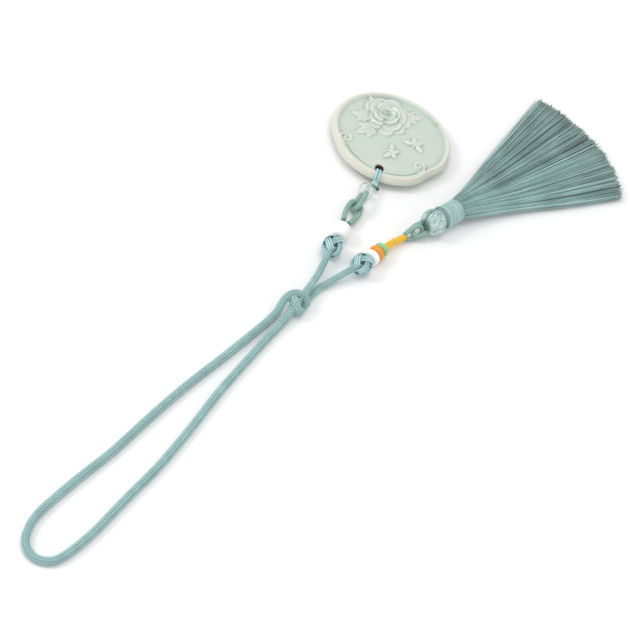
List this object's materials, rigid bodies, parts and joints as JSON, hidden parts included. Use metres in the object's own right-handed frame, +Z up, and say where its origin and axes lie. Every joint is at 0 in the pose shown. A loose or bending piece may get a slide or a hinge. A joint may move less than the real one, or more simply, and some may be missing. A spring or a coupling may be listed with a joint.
{
  "type": "car hanging tassel",
  "caption": "Car hanging tassel: a knitted cord loop gathered by a knot, its arms strung with beads and ending in a carved celadon pendant and a silk tassel.",
  "frame": {"origin": "centre of the bounding box's bottom, on the table that the ornament lies on", "axes": "+X from the hanging loop's end to the tassel's tips, +Z up, +Y toward the pendant's side"},
  "size_m": [0.3428, 0.1111, 0.0107],
  "materials": {
    "cord": "matt knitted cord, light teal",
    "link": "satin cord, soft green teal",
    "silk": "lustrous fine silk threads, teal",
    "thread": "thin waxed thread, light blue teal",
    "singed_thread": "dark melted thread end",
    "celadon_glaze": "pale celadon glaze, glossy, greener where it pools",
    "white_bead": "glossy white",
    "clear_bead": "clear, faceted",
    "yellow_bead": "glossy amber yellow",
    "orange_bead": "glossy orange",
    "green_bead": "glossy light green"
  },
  "bodies": {
    "root": {"hanging_loop": "cord", "overhand_knot": "cord", "arm_pendant": "cord", "arm_tassel": "cord", "button_knot_pendant": "cord", "button_knot_tassel": "cord", "white_bead_pendant": "white_bead", "white_bead_tassel": "white_bead", "orange_bead": "orange_bead", "green_bead": "green_bead", "yellow_bead_1": "yellow_bead", "yellow_bead_2": "yellow_bead", "string_pendant": "thread", "string_tassel": "thread", "string_hanger": "thread", "link_1": "link", "link_2": "link", "link_3": "link", "link_4": "link", "clear_bead": "clear_bead", "thread_knot": "thread", "thread_end": "singed_thread", "hanger_thread_1": "thread", "hanger_thread_2": "thread", "pendant": "celadon_glaze", "tassel_knob": "silk", "tassel_collar": "silk", "tassel_skirt": "silk"}
  },
  "joints": []
}
